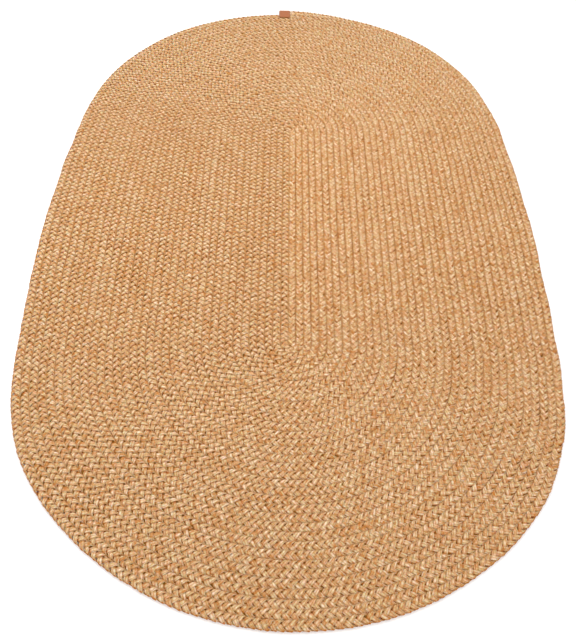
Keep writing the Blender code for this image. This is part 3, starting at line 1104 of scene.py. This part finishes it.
class FoldedStrip:
    """The leather strip's path, from the end of its lower leg over the fold to the end on top."""

    CLEARANCE = 0.0003  # from the rim to the inside of the fold
    FOLD_STATIONS = 25
    STEP = 0.0003  # to each side of a place, to read the strip's way there

    def __init__(self, tab):
        half = tab.thickness / 2
        low, high = TAB_LOW.z + half, TAB_HIGH.z - half - tab.sink
        foot = self.CLEARANCE + half - tab.sink - tab.fold_depth
        angles = np.linspace(-math.pi / 2, math.pi / 2, self.FOLD_STATIONS)
        fold_out = foot + tab.fold_depth * np.cos(angles)
        fold_up = (low + high) / 2 + (high - low) / 2 * np.sin(angles)
        out = np.concatenate([[-tab.under_reach], fold_out, [-tab.top_reach]])
        up = np.concatenate([[low], fold_up, [high]])
        steps = np.hypot(np.diff(out), np.diff(up))
        self.out, self.up = out, up
        self.along = np.concatenate([[0.0], np.cumsum(steps)])
        self.length = self.along[-1]
        self.fold_end = self.along[-2]

    def place(self, along, lift):
        """Outward distance and height of a point this far along the strip and off its middle."""
        here = max(0.0, min(self.length, along))
        stations = (max(0.0, here - self.STEP), here, min(self.length, here + self.STEP))
        (out_before, out, out_after), (up_before, up, up_after) = (
            np.interp(stations, self.along, values) for values in (self.out, self.up)
        )
        along_out, along_up = out_after - out_before, up_after - up_before
        size = math.hypot(along_out, along_up)
        # The strip's outer side is on the right of its way.
        return out + lift * along_up / size, up - lift * along_out / size


class RUG_OT_fold_tab(bpy.types.Operator):
    """Cut the leather strip, round its edges and fold it over the plait's end"""

    bl_idname = "rug.fold_tab"
    bl_label = "Fold Tab"

    ACROSS, ALONG = 22, 60  # faces
    ROUNDING = 0.28  # of the leather's thickness, at its rims
    LEVEL = 1e-6  # a rim's two ends differ by less than this in height
    GROOVE_DEPTH, GROOVE_WIDTH = 0.0003, 0.0012  # that the stitches press into the leather

    def execute(self, context):
        tab = context.scene.rug_tab
        strip = FoldedStrip(tab)
        place = TabPlace(Coil(context.scene.rug_coil), tab)
        bm = bmesh.new()
        bmesh.ops.create_grid(bm, x_segments=self.ACROSS, y_segments=self.ALONG, size=0.5)
        for corner in bm.verts:
            corner.co = self.cut_out(corner.co, tab, strip.length)
        raised = bmesh.ops.extrude_face_region(bm, geom=bm.faces[:], use_keep_orig=True)
        moved = [part for part in raised["geom"] if isinstance(part, bmesh.types.BMVert)]
        bmesh.ops.translate(bm, vec=(0.0, 0.0, tab.thickness), verts=moved)
        bmesh.ops.translate(bm, vec=(0.0, 0.0, -tab.thickness / 2), verts=bm.verts)
        bmesh.ops.recalc_face_normals(bm, faces=bm.faces)
        sides = [face for face in bm.faces if abs(face.normal.z) < 0.5]
        for face in sides:
            face.material_index = 1
        rims = {edge for face in sides for edge in face.edges if self.level(edge)}
        bmesh.ops.bevel(
            bm, geom=list(rims), offset=self.ROUNDING * tab.thickness, offset_type="OFFSET",
            affect="EDGES", segments=2, profile=0.5, material=-1, clamp_overlap=True,
        )
        points = np.array([self.folded(corner.co, strip, tab) for corner in bm.verts])
        for corner, point in zip(bm.verts, place.in_scene_axes(points)):
            corner.co = point
        bmesh.ops.recalc_face_normals(bm, faces=bm.faces)
        mesh = mesh_from(bm, "folded_leather_tab")
        mesh.shade_smooth()
        piece = place_piece(mesh, [tanned_leather(), burnished_edge()])
        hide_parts("leather_tab")
        return {"FINISHED"}

    def level(self, edge):
        """Whether an edge of the flat strip lies level, as its rims do."""
        start, end = edge.verts
        return abs(start.co.z - end.co.z) < self.LEVEL

    def cut_out(self, corner, tab, length):
        """The strip's flat shape with rounded corners, from a grid of unit size."""
        across = corner.x * tab.width
        along = (corner.y + 0.5) * length
        from_end = min(along, length - along)
        if from_end < tab.corner:
            narrow = tab.corner - math.sqrt(tab.corner**2 - (tab.corner - from_end) ** 2)
            across *= 1 - 2 * narrow / tab.width
        return Vector((across, along, 0.0))

    def folded(self, corner, strip, tab):
        """A corner of the flat strip on its folded path, pressed in along the stitches."""
        lift = corner.z
        if lift > 0.0 and corner.y > strip.fold_end:
            side = tab.width / 2 - tab.inset
            to_line = min(abs(abs(corner.x) - side), abs(strip.length - tab.inset - corner.y))
            lift -= self.GROOVE_DEPTH * math.exp(-((to_line / self.GROOVE_WIDTH) ** 2))
        out, up = strip.place(corner.y, lift)
        return corner.x, out, up


class RUG_OT_sew_tab(bpy.types.Operator):
    """Sew round three sides of the tab's top leg, a stitch over each pair of holes"""

    bl_idname = "rug.sew_tab"
    bl_label = "Sew Tab"

    FROM_FOLD = 0.0020  # to the first hole
    STITCH_SHARE = 0.94  # of the way between two holes
    THREAD_SINK = 0.0002  # of a stitch's ends in the leather

    def execute(self, context):
        tab = context.scene.rug_tab
        strip = FoldedStrip(tab)
        place = TabPlace(Coil(context.scene.rug_coil), tab)
        lift = tab.thickness / 2 - self.THREAD_SINK
        bm = bmesh.new()
        for pair in self.holes(tab, strip):
            holes = np.array([[hole.x, *strip.place(hole.y, lift)] for hole in pair])
            start, end = (Vector(hole) for hole in place.in_scene_axes(holes))
            way = end - start
            middle = (start + end) / 2 + Vector((0.0, 0.0, tab.thread / 4))
            turn = way.to_track_quat("Z", "Y").to_matrix().to_4x4()
            size = (tab.thread, tab.thread, self.STITCH_SHARE * way.length)
            ball = bmesh.ops.create_uvsphere(bm, u_segments=8, v_segments=6, radius=0.5)["verts"]
            bmesh.ops.scale(bm, vec=size, verts=ball)
            bmesh.ops.transform(bm, matrix=turn, verts=ball)
            bmesh.ops.translate(bm, vec=middle, verts=ball)
        mesh = mesh_from(bm, "tab_stitches")
        mesh.shade_smooth()
        place_piece(mesh, [waxed_thread()])
        return {"FINISHED"}

    def holes(self, tab, strip):
        """Each stitch's two holes, as (across, along) on the flat strip."""
        side = tab.width / 2 - tab.inset
        first = strip.fold_end + self.FROM_FOLD
        last = strip.length - tab.inset
        pairs = []
        for start, end in (
            ((-side, first), (-side, last)),
            ((-side, last), (side, last)),
            ((side, last), (side, first)),
        ):
            start, end = Vector(start), Vector(end)
            count = max(1, round((end - start).length / tab.stitch))
            holes = [start.lerp(end, number / count) for number in range(count + 1)]
            pairs += zip(holes[:-1], holes[1:])
        return pairs


class RUG_OT_set_studio(bpy.types.Operator):
    """Set the pale floor, the soft lights and the camera"""

    bl_idname = "rug.set_studio"
    bl_label = "Set Studio"

    FLOOR_REACH = 15.0  # from its middle to each side
    FLOOR_GAP = 0.0002  # under the rug

    def execute(self, context):
        studio = context.scene.rug_studio
        self.floor(studio)
        self.lights(context.scene, studio)
        self.camera(context.scene, studio)
        context.scene.view_settings.view_transform = "Standard"
        return {"FINISHED"}

    def floor(self, studio):
        """A wide floor of pale matt paint."""
        bm = bmesh.new()
        bmesh.ops.create_grid(bm, x_segments=1, y_segments=1, size=self.FLOOR_REACH)
        bmesh.ops.translate(bm, vec=(0.0, 0.0, RUG_LOW.z - self.FLOOR_GAP), verts=bm.verts)
        mesh = mesh_from(bm, "studio_floor")
        floor = bpy.data.objects.new("studio_floor", mesh)
        bpy.context.scene.collection.objects.link(floor)
        material, _, shader = new_material("pale_paint")
        shader.inputs["Base Color"].default_value = opaque(studio.floor)
        shader.inputs["Roughness"].default_value = 0.9
        shader.inputs["Specular IOR Level"].default_value = 0.1
        mesh.materials.append(material)

    def lights(self, scene, studio):
        """Even light from all round and a soft lamp overhead."""
        world = bpy.data.worlds.new("studio_sky")
        world.use_nodes = True
        sky = world.node_tree.nodes["Background"]
        sky.inputs["Color"].default_value = (1.0, 1.0, 1.0, 1.0)
        sky.inputs["Strength"].default_value = studio.sky_strength
        scene.world = world
        data = bpy.data.lights.new("soft_lamp", "AREA")
        data.shape = "SQUARE"
        data.size = studio.lamp_size
        data.energy = studio.lamp_power
        lamp = bpy.data.objects.new("soft_lamp", data)
        lamp.location = studio.lamp_place
        scene.collection.objects.link(lamp)

    def camera(self, scene, studio):
        """The camera at the photo's viewpoint: tipped down, turned and rolled by these angles."""
        tip, heading, roll = studio.tip, studio.heading, studio.roll
        ahead = math.cos(tip)
        forward = Vector((math.sin(heading) * ahead, math.cos(heading) * ahead, -math.sin(tip)))
        level = Vector((math.cos(heading), -math.sin(heading), 0.0))
        upright = level.cross(forward)
        right = math.cos(roll) * level + math.sin(roll) * upright
        up = -math.sin(roll) * level + math.cos(roll) * upright
        data = bpy.data.cameras.new("camera")
        data.sensor_width = 36.0
        data.lens = studio.focal_length * data.sensor_width
        camera = bpy.data.objects.new("camera", data)
        turn = Matrix((right, up, -forward)).transposed().to_4x4()
        camera.matrix_world = Matrix.Translation(studio.eye) @ turn
        scene.collection.objects.link(camera)
        scene.camera = camera


class RUG_PT_panel(bpy.types.Panel):
    """Lists the rug's settings and steps"""

    bl_idname = "RUG_PT_panel"
    bl_label = "Braided Rug"
    bl_space_type = "VIEW_3D"
    bl_region_type = "UI"
    bl_category = "Rug"

    def draw(self, context):
        scene = context.scene
        for group in (scene.rug_coil, scene.rug_plait, scene.rug_yarn, scene.rug_tab, scene.rug_studio):
            box = self.layout.box()
            for name in group.bl_rna.properties.keys():
                if name not in ("rna_type", "name"):
                    box.prop(group, name)
        for step in STEPS:
            self.layout.operator(step.bl_idname)


SETTINGS = {
    "rug_coil": RugCoilSettings,
    "rug_plait": RugPlaitSettings,
    "rug_yarn": RugYarnSettings,
    "rug_tab": RugTabSettings,
    "rug_studio": RugStudioSettings,
}
STEPS = (RUG_OT_set_studio, RUG_OT_braid_plait, RUG_OT_lay_ground, RUG_OT_fold_tab, RUG_OT_sew_tab)


def register():
    for kind in (*SETTINGS.values(), *STEPS, RUG_PT_panel):
        bpy.utils.register_class(kind)
    for name, kind in SETTINGS.items():
        setattr(bpy.types.Scene, name, PointerProperty(type=kind))


def unregister():
    for name in SETTINGS:
        delattr(bpy.types.Scene, name)
    for kind in reversed((*SETTINGS.values(), *STEPS, RUG_PT_panel)):
        bpy.utils.unregister_class(kind)


def main():
    register()
    for step in STEPS:
        group, name = step.bl_idname.split(".")
        getattr(getattr(bpy.ops, group), name)()


if __name__ == "__main__":
    main()
